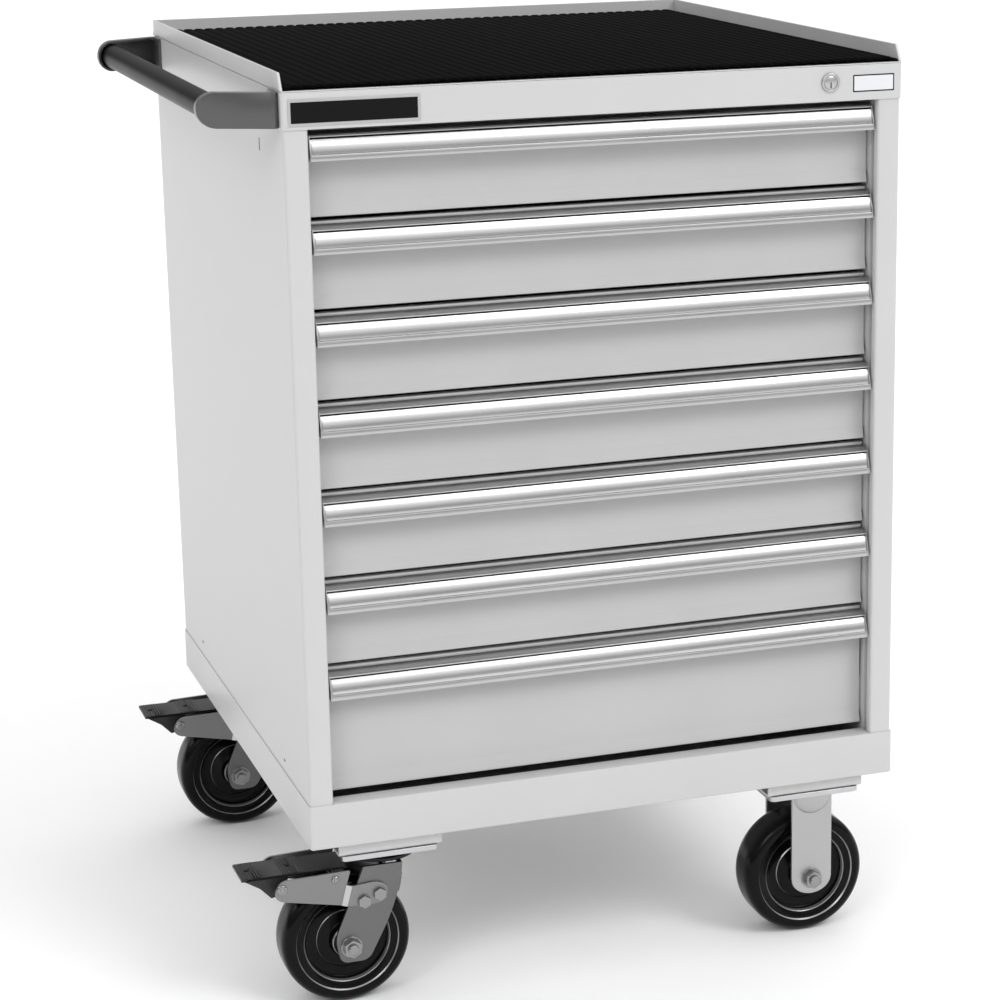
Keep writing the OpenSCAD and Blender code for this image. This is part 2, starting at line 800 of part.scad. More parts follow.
// Pedal: ribbed pad, two cheeks round the pivot pin and a nose above the tread
module brake_pedal(front) {
    pad_z = pivot_z + 12;
    pad_t = 3;
    inner = arm_in - 0.6;
    nose_drop = 16;
    x0 = pin_x - 43;
    color([0.15, 0.15, 0.15]) placed() at_caster(true, front) difference() {
        union() {
            translate([x0, -pedal_w / 2, pad_z - pad_t]) cube([pedal_l, pedal_w, pad_t]);
            for (i = [0:3], s = [0, 1]) translate([x0 + 3 + 5 * i + s * (pedal_l - 22), -pedal_w / 2, pad_z])
                cube([2, pedal_w, 1]);
            translate([0, pedal_w / 2, 0]) rotate([90, 0, 0]) linear_extrude(pedal_w) {
                polygon([
                    [x0 + 3, pad_z - pad_t],
                    [pin_x - 22, pivot_z - 2],
                    [pin_x - 8, pivot_z - nose_drop],
                    [pin_x + 6, pivot_z - 8],
                    [pin_x + 12, pad_z - pad_t]
                ]);
                translate([pin_x, pivot_z]) circle(r = 9);
            }
        }
        translate([pin_x, -40, pivot_z]) y_rod(pivot_d / 2 + run_gap, 80);
        for (x = [x0 + 9, x0 + pedal_l - 13]) translate([x, -3, pad_z - 2]) cube([5, 6, 8]);
    }
}

side_panel_left();
side_panel_right();
back_panel();
base_pan();
top_rail();
top_tray();
rubber_mat();
rail_posts();
cabinet_rails();
caster_risers();
handle_brackets();
handle_bar();
lock_body();
lock_plug();
lock_rod();
lock_bar();
swivel_plates();
rigid_forks();
rigid_axle_bolts();
swivel_fork(true);  // swivel_fork_front
swivel_fork(false);  // swivel_fork_rear
swivel_axle(true);  // swivel_axle_front
swivel_axle(false);  // swivel_axle_rear
brake_bracket(true);  // brake_bracket_front
brake_bracket(false);  // brake_bracket_rear
brake_pedal(true);  // brake_pedal_front
brake_pedal(false);  // brake_pedal_rear
wheel(true, true);  // wheel_front_left
wheel(true, false);  // wheel_rear_left
wheel(false, true);  // wheel_front_right
wheel(false, false);  // wheel_rear_right
for (i = [1:drawer_count]) {
    drawer_box(i);
    drawer_pull(i);
    drawer_rails(i);
    middle_rails(i);
}
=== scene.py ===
import math

import bmesh
import bpy
from mathutils import Matrix, Vector


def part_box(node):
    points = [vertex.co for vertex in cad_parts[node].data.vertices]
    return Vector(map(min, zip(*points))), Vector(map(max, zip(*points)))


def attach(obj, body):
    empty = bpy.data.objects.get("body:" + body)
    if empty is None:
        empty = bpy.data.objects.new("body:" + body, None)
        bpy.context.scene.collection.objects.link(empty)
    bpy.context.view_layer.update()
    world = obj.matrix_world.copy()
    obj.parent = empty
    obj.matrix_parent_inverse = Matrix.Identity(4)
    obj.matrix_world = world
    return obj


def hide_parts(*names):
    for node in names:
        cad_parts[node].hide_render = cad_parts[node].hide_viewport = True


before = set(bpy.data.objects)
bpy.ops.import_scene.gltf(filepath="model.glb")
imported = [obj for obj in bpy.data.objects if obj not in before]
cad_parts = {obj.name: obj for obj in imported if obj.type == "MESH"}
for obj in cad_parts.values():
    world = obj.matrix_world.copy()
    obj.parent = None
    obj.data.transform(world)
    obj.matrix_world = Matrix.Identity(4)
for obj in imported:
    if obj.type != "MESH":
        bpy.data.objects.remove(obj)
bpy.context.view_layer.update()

# ---- Base pan ----
# A shallow pan folded from sheet steel with welded corners, powder coated light grey.
# It carries the panels above it, and the casters are bolted up against its floor.
mm = 0.001
sheet = 1.5
pan_low, pan_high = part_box("base_pan")
housing_w = (pan_high.x - pan_low.x) / mm
housing_d = (pan_high.y - pan_low.y) / mm
pan_floor, sill = pan_low.z / mm, pan_high.z / mm
fold = 3.5


def spot(x, y, z):
    """A place in millimetres: from the housing's left side, from its front, from the floor."""
    return Vector((pan_low.x + x * mm, pan_low.y + y * mm, z * mm))


def coat(name, colour, rough, metal=0.0, grain=1400, depth=0.02, stretch=(1, 1, 1), patchy=0.04, tint=0.03,
         shine=0.5):
    """A finish with fine grain, and slow changes of gloss and tone over the surface."""
    finish = bpy.data.materials.new(name)
    finish.use_nodes = True
    nodes, links = finish.node_tree.nodes, finish.node_tree.links
    shader = nodes["Principled BSDF"]
    shader.inputs["Metallic"].default_value = metal
    shader.inputs["Specular IOR Level"].default_value = shine
    place = nodes.new("ShaderNodeTexCoord")
    mapping = nodes.new("ShaderNodeMapping")
    mapping.inputs["Scale"].default_value = stretch
    links.new(place.outputs["Object"], mapping.inputs["Vector"])
    fine = nodes.new("ShaderNodeTexNoise")
    fine.inputs["Scale"].default_value = grain
    fine.inputs["Detail"].default_value = 3
    links.new(mapping.outputs["Vector"], fine.inputs["Vector"])
    bump = nodes.new("ShaderNodeBump")
    bump.inputs["Strength"].default_value = 0.5
    bump.inputs["Distance"].default_value = depth * mm
    links.new(fine.outputs["Fac"], bump.inputs["Height"])
    links.new(bump.outputs["Normal"], shader.inputs["Normal"])
    slow = nodes.new("ShaderNodeTexNoise")
    slow.inputs["Scale"].default_value = 9
    slow.inputs["Detail"].default_value = 4
    links.new(place.outputs["Object"], slow.inputs["Vector"])
    blend = nodes.new("ShaderNodeMath")
    blend.operation = "ADD"
    links.new(slow.outputs["Fac"], blend.inputs[0])
    links.new(fine.outputs["Fac"], blend.inputs[1])
    gloss = nodes.new("ShaderNodeMapRange")
    gloss.inputs["From Min"].default_value = 0.6
    gloss.inputs["From Max"].default_value = 1.4
    gloss.inputs["To Min"].default_value = rough - patchy
    gloss.inputs["To Max"].default_value = rough + patchy
    links.new(blend.outputs["Value"], gloss.inputs["Value"])
    links.new(gloss.outputs["Result"], shader.inputs["Roughness"])
    tone = nodes.new("ShaderNodeValToRGB")
    tone.color_ramp.elements[0].position = 0.3
    tone.color_ramp.elements[1].position = 0.7
    tone.color_ramp.elements[0].color = [c * (1 - tint) for c in colour] + [1]
    tone.color_ramp.elements[1].color = [min(1, c * (1 + tint)) for c in colour] + [1]
    links.new(slow.outputs["Fac"], tone.inputs["Fac"])
    links.new(tone.outputs["Color"], shader.inputs["Base Color"])
    return finish


def fit(name, bm, finish, body, thick=0.0, edge=0.35, instead_of=(), inward=False):
    """Closes a modelled shape into a piece, breaks its edges and fixes it to its body."""
    bmesh.ops.remove_doubles(bm, verts=bm.verts, dist=0.001 * mm)
    bmesh.ops.recalc_face_normals(bm, faces=bm.faces)
    mesh = bpy.data.meshes.new(name)
    bm.to_mesh(mesh)
    bm.free()
    mesh.shade_smooth()
    mesh.materials.append(finish)
    piece = bpy.data.objects.new(name, mesh)
    bpy.context.scene.collection.objects.link(piece)
    if thick:
        wall = piece.modifiers.new("wall", "SOLIDIFY")
        wall.thickness = thick * mm
        wall.offset = -1 if inward else 0
        wall.use_even_offset = True
    if edge:
        broken = piece.modifiers.new("broken edges", "BEVEL")
        broken.width = edge * mm
        broken.segments = 2
        broken.limit_method = "ANGLE"
        broken.angle_limit = math.radians(28)
        broken.harden_normals = True
    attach(piece, body)
    if instead_of:
        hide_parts(*instead_of)
    return piece


def block(bm, low, high):
    """A solid rectangular block between two corners. Returns its new points."""
    made = bmesh.ops.create_cube(bm, size=1)["verts"]
    bmesh.ops.scale(bm, vec=high - low, verts=made)
    bmesh.ops.translate(bm, vec=(low + high) / 2, verts=made)
    return made


def folded(bm, path, run, bend):
    """A sheet folded along a path of points and run straight on."""
    points = [bm.verts.new(p) for p in path]
    edges = [bm.edges.new(pair) for pair in zip(points, points[1:])]
    grown = bmesh.ops.extrude_edge_only(bm, edges=edges)["geom"]
    far = [g for g in grown if isinstance(g, bmesh.types.BMVert)]
    bmesh.ops.translate(bm, vec=run, verts=far)
    bm.edges.index_update()
    folds = [e for p in points[1:-1] for e in p.link_edges if len(e.link_faces) == 2]
    folds = [e for e in folds if e.calc_face_angle(0) > 0.05]
    if folds:
        bmesh.ops.bevel(bm, geom=folds, offset=bend * mm, offset_type="OFFSET", segments=5,
                        profile=0.5, affect="EDGES", clamp_overlap=True, material=-1)


grey_enamel = coat("grey enamel", (0.56, 0.56, 0.562), 0.38, depth=0.012, tint=0.012, patchy=0.03)

pan = bmesh.new()
block(pan, spot(0, 0, pan_floor), spot(housing_w, housing_d, sill))
lid = [f for f in pan.faces if f.calc_center_median().z > sill * mm - 1e-6]
bmesh.ops.delete(pan, geom=lid, context="FACES_ONLY")
corners = [e for e in pan.edges if abs(e.verts[0].co.z - e.verts[1].co.z) > 1e-4]
bmesh.ops.bevel(pan, geom=corners, offset=fold * mm, offset_type="OFFSET", segments=6,
                profile=0.5, affect="EDGES", material=-1)
hem = [e for e in pan.edges if max(v.co.z for v in e.verts) < pan_floor * mm + 1e-6
       and len(e.link_faces) == 2]
bmesh.ops.bevel(pan, geom=hem, offset=1.6 * mm, offset_type="OFFSET", segments=4,
                profile=0.5, affect="EDGES", material=-1)
fit("base_pan_sheet", pan, grey_enamel, "housing", thick=sheet, inward=True,
    instead_of=["base_pan"])

stile_w = 28.6
ledge_back = 25.5
ledge = bmesh.new()
half = sheet / 2
folded(ledge, [spot(stile_w, sheet, sill - half), spot(stile_w, ledge_back, sill - half),
               spot(stile_w, ledge_back, sill - 13)],
       Vector(((housing_w - 2 * stile_w) * mm, 0, 0)), 2)
fit("base_ledge", ledge, grey_enamel, "housing", thick=sheet)

# ---- Side panels ----
# Each side is one sheet: it wraps round the front corner into a narrow stile, and the
# stile's inner edge is turned back as a lip. The base and the top rail sleeve over it.
band_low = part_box("top_rail")[0].z / mm
table_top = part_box("rubber_mat")[0].z / mm
panel_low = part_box("side_panel_left")[0].z / mm
panel_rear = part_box("side_panel_left")[1].y
lip_back = 11.5
for side, hand in (("left", 1), ("right", -1)):
    panel = bmesh.new()
    skin = sheet + half
    rear = (panel_rear - pan_low.y) / mm
    path = [(stile_w - half, lip_back), (stile_w - half, skin), (skin, skin), (skin, rear)]
    folded(panel, [spot(x if hand > 0 else housing_w - x, y, panel_low) for x, y in path],
           Vector((0, 0, (table_top - sheet - panel_low) * mm)), 2.6)
    fit(f"side_panel_sheet_{side}", panel, grey_enamel, "housing", thick=sheet,
        instead_of=[f"side_panel_{side}"])

# Small tool slots punched in the left side, three in all. They are not cut: dark patches
# on the sheet are painted shade for the dark space behind them.
hole_shade = coat("painted shade in holes", (0.03, 0.03, 0.03), 0.7)
slots = bmesh.new()
for slot_y, slot_z, slot_l, slot_h in ((120, 990, 3, 14), (599, 277, 7, 2.4), (126, 273, 7, 2.4)):
    block(slots, spot(sheet - 0.12, slot_y - slot_l / 2, slot_z - slot_h / 2),
          spot(sheet + 0.3, slot_y + slot_l / 2, slot_z + slot_h / 2))
fit("side_tool_slot_shade", slots, hole_shade, "housing", edge=0)

# ---- Back panel ----
# A flat sheet that closes the back, held by a row of pan-head screws down each side.
# Two pairs of guides on its inner face keep the locking bar upright.
def finish_node(node, finish):
    """Gives a frame piece whose shape is right its real finish."""
    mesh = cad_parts[node].data
    mesh.materials.clear()
    mesh.materials.append(finish)


finish_node("back_panel", grey_enamel)
bright_zinc = coat("bright zinc plate", (0.55, 0.555, 0.565), 0.3, metal=1, grain=900, depth=0.003,
                   patchy=0.04, tint=0.04)


def turned(bm, profile, centre, axis, around, steps=48):
    """A turned shape: a profile of (radius, height) pairs spun once round an axis."""
    points = [bm.verts.new(centre + around * r * mm + axis * h * mm) for r, h in profile]
    edges = [bm.edges.new(pair) for pair in zip(points, points[1:])]
    bmesh.ops.spin(bm, geom=points + edges, cent=centre, axis=axis, angle=2 * math.pi,
                   steps=steps, use_merge=True, use_duplicate=False)


screws = bmesh.new()
screw_rows = 6
screw_in, screw_end = 12, 40
for x in (screw_in, housing_w - screw_in):
    for row in range(screw_rows):
        z = panel_low + screw_end + row * (table_top - panel_low - 2 * screw_end) / (screw_rows - 1)
        head = [(0, 1.35), (2.2, 1.3), (3.9, 0.7), (4.3, 0)]
        turned(screws, head, spot(x, housing_d - sheet, z), Vector((0, 1, 0)), Vector((1, 0, 0)), 20)
fit("back_screws", screws, bright_zinc, "housing", edge=0)

# ---- Top rail ----
# A rail folded round the front and both sides of the housing, above the drawers. Its lower
# front edge is turned in, and its ends are welded to the side panels.
rail = bmesh.new()
folded(rail, [spot(x, y, band_low) for x, y in
              ((half, housing_d), (half, half), (housing_w - half, half), (housing_w - half, housing_d))],
       Vector((0, 0, (table_top - sheet - band_low) * mm)), fold)
folded(rail, [spot(stile_w, 19.5, band_low + half), spot(stile_w, sheet, band_low + half)],
       Vector(((housing_w - 2 * stile_w) * mm, 0, 0)), 1)
fit("top_rail_sheet", rail, grey_enamel, "housing", thick=sheet, instead_of=["top_rail"])

# ---- Top tray ----
# A floor sheet with hemmed rims on the left, right and rear. The side rims lean back at
# the front, and a thin shadow line runs where the tray sits on the rail.
rim_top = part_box("top_tray")[1].z / mm
rim_t = 3.0
rim_start = 1.5
lean = 12
mitre = 2
tray = bmesh.new()
seam = 0.7
tray_back = housing_d - 0.8
block(tray, spot(seam, 0.1, table_top - sheet + 0.15), spot(housing_w - seam, tray_back, table_top))


def plate(bm, outline, run):
    """A flat plate: an outline of points, carried straight across by its thickness."""
    face = bm.faces.new([bm.verts.new(p) for p in outline])
    grown = bmesh.ops.extrude_face_region(bm, geom=[face])["geom"]
    bmesh.ops.translate(bm, vec=run, verts=[g for g in grown if isinstance(g, bmesh.types.BMVert)])


for x in (0, housing_w - rim_t):
    plate(tray, [spot(x, rim_start, table_top), spot(x, rim_start + lean, rim_top),
                 spot(x, tray_back, rim_top), spot(x, tray_back, table_top)], Vector((rim_t * mm, 0, 0)))
plate(tray, [spot(0, tray_back - rim_t, table_top), spot(mitre, tray_back - rim_t, rim_top),
             spot(housing_w - mitre, tray_back - rim_t, rim_top),
             spot(housing_w, tray_back - rim_t, table_top)],
      Vector((0, rim_t * mm, 0)))
fit("top_tray_sheet", tray, grey_enamel, "housing", edge=0.9, instead_of=["top_tray"])

# The hanger under the tray holds the rear end of the lock's rod.
rod_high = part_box("lock_rod")[1]
rod_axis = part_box("lock_plug")
lock_x = (rod_axis[0].x + rod_axis[1].x) / 2 / mm - pan_low.x / mm
lock_z = (rod_axis[0].z + rod_axis[1].z) / 2 / mm
hanger = bmesh.new()
hanger_y = rod_high.y / mm - pan_low.y / mm - 40
hanger_half = 9
folded(hanger, [spot(lock_x - hanger_half, hanger_y, table_top - sheet),
                spot(lock_x - hanger_half, hanger_y, lock_z + 5)], Vector((2 * hanger_half * mm, 0, 0)), 2)
fit("rod_hanger", hanger, bright_zinc, "housing", thick=3)

# ---- Rubber mat ----
# A black rubber mat with rounded ribs that run front to back. It lies loose between the
# rims, and its front edge is rounded over the top of the rail.
mat_low, mat_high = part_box("rubber_mat")
rib_pitch = 13.4
mat = bmesh.new()
mat_x0, mat_x1 = (mat_low.x - pan_low.x) / mm, (mat_high.x - pan_low.x) / mm
mat_y0, mat_y1 = (mat_low.y - pan_low.y) / mm, (mat_high.y - pan_low.y) / mm
mat_z0, mat_z1 = mat_low.z / mm, mat_high.z / mm
ribs = int((mat_x1 - mat_x0) / rib_pitch)
margin = (mat_x1 - mat_x0 - ribs * rib_pitch) / 2
section = [(mat_x0, mat_z0), (mat_x0, mat_z1 - 3)]
for rib in range(ribs):
    start = mat_x0 + margin + rib * rib_pitch
    for share, height in ((0.02, -1.9), (0.10, -0.9), (0.24, -0.2), (0.5, 0), (0.76, -0.2), (0.90, -0.9),
                          (0.98, -1.9)):
        section.append((start + share * rib_pitch, mat_z1 + height))
section += [(mat_x1, mat_z1 - 3), (mat_x1, mat_z0)]
edge_round = [(0, -3.2), (0.6, -1.4), (2.0, -0.3), (4.2, 0)]
rows = [(mat_y0 + inset, drop) for inset, drop in edge_round]
rows += [(mat_y1 - inset, drop) for inset, drop in reversed(edge_round)]
lines = [mat.verts.new(spot(x, rows[0][0], z)) for x, z in section]
row_edges = [mat.edges.new(pair) for pair in zip(lines, lines[1:])]
for (before, _), (y, _) in zip(rows, rows[1:]):
    grown = bmesh.ops.extrude_edge_only(mat, edges=row_edges)["geom"]
    row_verts = [g for g in grown if isinstance(g, bmesh.types.BMVert)]
    row_edges = [g for g in grown if isinstance(g, bmesh.types.BMEdge)
                 and all(v in row_verts for v in g.verts)]
    bmesh.ops.translate(mat, vec=Vector((0, (y - before) * mm, 0)), verts=row_verts)
for vert in mat.verts:
    y = (vert.co.y - pan_low.y) / mm
    for row_y, drop in rows:
        if abs(y - row_y) < 0.01 and vert.co.z > mat_low.z + 1e-4:
            vert.co.z = max(mat_low.z + 0.4 * mm, vert.co.z + drop * mm)
bmesh.ops.holes_fill(mat, edges=mat.edges, sides=0)
black_rubber = coat("black rubber", (0.003, 0.003, 0.0031), 0.75, grain=900, depth=0.05, patchy=0.04,
                    tint=0.12, shine=0.012)
fit("ribbed_mat", mat, black_rubber, "housing", edge=0, instead_of=["rubber_mat"])

# ---- Slides ----
# Four upright channels stand inside the corners and carry seven pairs of three-part
# telescopic slides, roll formed from zinc-plated strip.
rail_zinc = coat("rail zinc", (0.5, 0.51, 0.53), 0.34, metal=1, grain=300, depth=0.01, stretch=(1, 0.02, 1),
                 patchy=0.06)
finish_node("rail_posts", grey_enamel)
finish_node("cabinet_rails", rail_zinc)
for i in range(1, 8):
    finish_node(f"drawer_rails_{i}", rail_zinc)
    finish_node(f"middle_rails_{i}", rail_zinc)

# ---- Drawers ----
# Seven drawers: a folded box of thin sheet with a front plate welded on. The lowest strip of
# each front leans out a little. Six drawers are single height and the bottom one is deeper.
drawer_t = 1.2
# The fronts take a darker copy of the grey enamel: painted shade, for the shade that the pulls cast down the
# fronts.
front_enamel_shaded = coat("front enamel with painted shade", (0.49, 0.49, 0.492), 0.4, depth=0.012, tint=0.02, patchy=0.03)
bright_strip = coat("bright insert strip", (0.63, 0.63, 0.635), 0.22, metal=1, grain=260, depth=0.004,
                    stretch=(0.01, 1, 1), patchy=0.03, tint=0.01)
satin_pull = coat("satin aluminium", (0.5, 0.5, 0.505), 0.3, metal=1, grain=420, depth=0.006,
                  stretch=(0.01, 1, 1), patchy=0.05, tint=0.02)
# Near black for the block in each pull's slot: painted shade under the lip.
lip_shade = coat("painted shade under the lip", (0.006, 0.006, 0.006), 0.6, shine=0.05)
for i in range(1, 8):
    low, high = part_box(f"drawer_box_{i}")
    x0, x1 = (low.x - pan_low.x) / mm, (high.x - pan_low.x) / mm
    face_y = 28.0
    kick_z = low.z / mm + 15
    z0, z1 = low.z / mm, high.z / mm
    back_y = (high.y - pan_low.y) / mm
    skin = drawer_t / 2

    face = bmesh.new()
    folded(face, [spot(x0, y, z) for y, z in ((face_y + 11, z1 - skin), (face_y + skin, z1 - skin),
                                              (face_y + skin, kick_z), (face_y - 4 + skin, z0 + skin),
                                              (face_y + 8, z0 + skin))],
           Vector(((x1 - x0) * mm, 0, 0)), 1.2)
    for x in (x0 + skin, x1 - skin):
        folded(face, [spot(x, face_y + 1.3, z0 + 16), spot(x, face_y + 11, z0 + 16)],
               Vector((0, 0, (z1 - z0 - 18) * mm)), 1)
    fit(f"drawer_front_{i}", face, front_enamel_shaded, f"drawer_{i}", thick=drawer_t, edge=0.3,
        instead_of=[f"drawer_box_{i}"])

    slide_space = 12.7
    side = slide_space + stile_w
    box_low, box_top = z0 + 2.6, z1 - 18.4
    tub = bmesh.new()
    block(tub, spot(side, face_y + drawer_t, box_low), spot(housing_w - side, back_y, box_top))
    lid = [f for f in tub.faces if f.calc_center_median().z > box_top * mm - 1e-6]
    bmesh.ops.delete(tub, geom=lid, context="FACES_ONLY")
    bends = [e for e in tub.edges if len(e.link_faces) == 2]
    bmesh.ops.bevel(tub, geom=bends, offset=1.5 * mm, offset_type="OFFSET", segments=3,
                    profile=0.5, affect="EDGES", material=-1)
    fit(f"drawer_tub_{i}", tub, grey_enamel, f"drawer_{i}", thick=drawer_t, inward=True,
        edge=0.25)

    # The pull is an aluminium extrusion as wide as the front. A bright strip slides into
    # its face under a narrow lip, and a flat cap closes each end.
    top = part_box(f"drawer_pull_{i}")[1].z / mm
    outer = [(28, -3.2), (26.6, -3.2), (26.3, -1.3), (25.3, -1.0), (23.6, -1.3), (19, -2.8), (15.2, -4.5),
             (13.2, -5.3),
             (12.2, -6.2), (12.3, -7.0), (13, -7.3), (19, -7.3), (19, -9.2), (12.6, -9.2), (10.9, -12.4),
             (9.3, -17),
             (8.3, -21), (7.9, -24.8), (8.2, -25.4), (6.4, -25.4), (5.8, -27), (5.4, -30), (5.6, -32)]
    inner = [(8, -32), (8.6, -26.2), (11, -17), (14.4, -11.6), (20.4, -10.4), (21, -6.4), (24.4, -6),
             (25.8, -7.4), (25.8, -32), (28, -32)]
    body = bmesh.new()
    plate(body, [spot(x0 + 1.4, y, top + z) for y, z in outer + inner], Vector(((x1 - x0 - 2.8) * mm, 0, 0)))
    fit(f"pull_body_{i}", body, satin_pull, f"drawer_{i}", edge=0.25,
        instead_of=[f"drawer_pull_{i}"])

    strip_out = [(12.9, -9.0), (11.6, -11.0), (10.4, -13.2), (9.3, -15.6), (8.4, -18.2), (7.7, -20.8),
                 (7.3, -23), (7.1, -24.9)]
    strip_in = [(7.9, -24.9), (8.3, -21.6), (9.3, -18), (10.6, -14.4), (12.1, -11.2), (13.8, -9.0)]
    strip = bmesh.new()
    plate(strip, [spot(x0 + 3, y, top + z) for y, z in strip_out + strip_in],
          Vector(((x1 - x0 - 6) * mm, 0, 0)))
    fit(f"pull_strip_{i}", strip, bright_strip, f"drawer_{i}", edge=0.15)
    # A black block in the slot under the lip is painted shade for the dark inside the slot.
    lip_shade_block = bmesh.new()
    block(lip_shade_block, spot(x0 + 3, 14.4, top - 9.1), spot(x1 - 3, 18.9, top - 7.4))
    fit(f"pull_slot_shade_{i}", lip_shade_block, lip_shade, f"drawer_{i}", edge=0)

    caps = bmesh.new()
    shape = [(28, 0), (24, -0.4), (15, -3.7), (12, -5.2), (11.6, -8.6), (8.4, -16.5), (6.2, -23), (5.2, -30),
             (5.4, -32), (28, -32)]
    for x in (x0, x1 - 1.4):
        plate(caps, [spot(x, y, top + z) for y, z in shape], Vector((1.4 * mm, 0, 0)))
    fit(f"pull_caps_{i}", caps, satin_pull, f"drawer_{i}", edge=0.3)

# ---- Central lock ----
# A cylinder lock set in the top rail. Its plug turns a long rod, and a crank on the rod's
# rear end draws a bar down behind all the drawers.
chrome = coat("dull chrome", (0.5, 0.5, 0.505), 0.34, metal=1, grain=900, depth=0.004, patchy=0.04, tint=0.02)
face_low, face_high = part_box("lock_body")
face_r = (face_high.x - face_low.x) / 2 / mm
proud = (pan_low.y - face_low.y) / mm
barrel = bmesh.new()
plug_r = (rod_axis[1].x - rod_axis[0].x) / 2 / mm
toward = Vector((0, -1, 0))
across = Vector((1, 0, 0))
turned(barrel, [(plug_r + 0.05, -20), (plug_r + 0.05, proud - 0.5), (plug_r + 0.5, proud - 0.1),
                (face_r - 1.2, proud),
                (face_r - 0.3, proud - 0.5), (face_r, 0), (face_r - 2, -0.2), (face_r - 2, -24),
                (plug_r + 0.05, -24), (plug_r + 0.05, -20)], spot(lock_x, 0, lock_z), toward, across, 64)
fit("lock_barrel", barrel, chrome, "housing", edge=0, instead_of=["lock_body"])

keyway = bmesh.new()
turned(keyway, [(0, -26), (plug_r, -26), (plug_r, proud - 1.0), (plug_r - 0.5, proud - 0.5),
                (0, proud - 0.5)],
       spot(lock_x, 0, lock_z), toward, across, 64)
fit("lock_plug_face", keyway, chrome, "lock_turning", edge=0, instead_of=["lock_plug"])
# The keyway is not cut: a dark block on the plug's face is painted shade for the slot.
slit = bmesh.new()
block(slit, spot(lock_x - 0.7, -proud + 0.4, lock_z - 6.4), spot(lock_x + 0.7, -proud + 1.2, lock_z + 0.4))
fit("lock_keyway_shade", slit, hole_shade, "lock_turning", edge=0)
finish_node("lock_rod", bright_zinc)
finish_node("lock_bar", bright_zinc)

# ---- Name plate and label ----
# A blank black plate with a pale raised border at the left end of the rail, and a small
# blank pale label with a dark edge at its right end. Both are stuck on.
plate_black = coat("gloss black field", (0.004, 0.004, 0.0042), 0.24, grain=500, depth=0.004, patchy=0.03,
                   tint=0.1, shine=0.12)
label_pale = coat("pale label", (0.72, 0.73, 0.75), 0.45, grain=500, depth=0.003, patchy=0.03, tint=0.02)


def stuck_on(name, x0, x1, z0, z1, thick, finish, corner=1.2):
    """A thin plate with rounded corners stuck to the front of the rail."""
    bm = bmesh.new()
    block(bm, spot(x0, -thick, z0), spot(x1, 0.05, z1))
    ends = [e for e in bm.edges if abs(e.verts[0].co.y - e.verts[1].co.y) > 1e-5]
    bmesh.ops.bevel(bm, geom=ends, offset=corner * mm, offset_type="OFFSET", segments=4,
                    profile=0.5, affect="EDGES", material=-1)
    return fit(name, bm, finish, "housing", edge=0.2)


stuck_on("name_plate_border", 7, 152, 1021.4, 1050.4, 0.7, satin_pull)
stuck_on("name_plate_field", 10, 149, 1024.7, 1047.1, 0.95, plate_black, 0.6)
stuck_on("label_edge", 656.9, 707.6, 1027.2, 1046.5, 0.25, plate_black, 0.8)
stuck_on("label_field", 658.3, 706.2, 1028.6, 1045.1, 0.4, label_pale, 0.5)

# ---- Push handle ----
# A steel tube between two formed brackets on the left side, all powder coated black. Each
# bracket's plate slants back from the housing's corner and has a rim round it.
# The brackets take a lighter copy of the black: painted sheen, for the grey highlight across the front
# bracket.
bracket_enamel_sheen = coat("black enamel with painted sheen", (0.05, 0.05, 0.0505), 0.3, grain=1200, depth=0.02, patchy=0.03, tint=0.08,
                    shine=0.9)


def softened(node, finish, body, edge):
    """A copy of a frame piece, with its flat faces joined up and its edges broken."""
    bm = bmesh.new()
    bm.from_mesh(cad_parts[node].data)
    bmesh.ops.remove_doubles(bm, verts=bm.verts, dist=0.002 * mm)
    bmesh.ops.dissolve_limit(bm, angle_limit=math.radians(0.5), verts=bm.verts, edges=bm.edges)
    return fit(f"{node}_finished", bm, finish, body, edge=edge, instead_of=[node])


softened("handle_brackets", bracket_enamel_sheen, "housing", 0.9)
tube_enamel = coat("tube enamel", (0.004, 0.004, 0.0041), 0.3, grain=1200, depth=0.01, patchy=0.03, tint=0.08,
                   shine=0.025)
finish_node("handle_bar", tube_enamel)

# ---- Caster risers ----
# Under each corner sits a shallow channel of 3 mm steel, open at its left and right ends.
# It is welded to the pan and painted with it, and a caster's plate is bolted up to it.
riser_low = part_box("caster_risers")[0]
plates_low, plates_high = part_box("swivel_plates")
front_low, front_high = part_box("wheel_front_left")
rear_low, rear_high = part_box("wheel_rear_left")
right_low, right_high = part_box("wheel_front_right")
left_x = ((plates_low.x + plates_high.x) / 2 - pan_low.x) / mm
right_x = ((right_low.x + right_high.x) / 2 - pan_low.x) / mm
front_y = ((front_low.y + front_high.y) / 2 - pan_low.y) / mm
rear_y = ((rear_low.y + rear_high.y) / 2 - pan_low.y) / mm
riser_half = left_x - (riser_low.x - pan_low.x) / mm
riser_side = front_y - (riser_low.y - pan_low.y) / mm
seat_z = riser_low.z / mm
riser_t = 3.0


def beside(x, y):
    """Places in millimetres from a caster's own centre line, and from the floor."""
    return lambda u, v, z: spot(x + u, y + v, z)


risers = bmesh.new()
for x in (left_x, right_x):
    for y in (front_y, rear_y):
        at = beside(x, y)
        wall = riser_side - riser_t / 2
        folded(risers, [at(-riser_half, -wall, pan_floor), at(-riser_half, -wall, seat_z + riser_t / 2),
                        at(-riser_half, wall, seat_z + riser_t / 2), at(-riser_half, wall, pan_floor)],
               Vector((2 * riser_half * mm, 0, 0)), 3.5)
fit("caster_risers_formed", risers, grey_enamel, "housing", thick=riser_t, edge=0.5,
    instead_of=["caster_risers"])

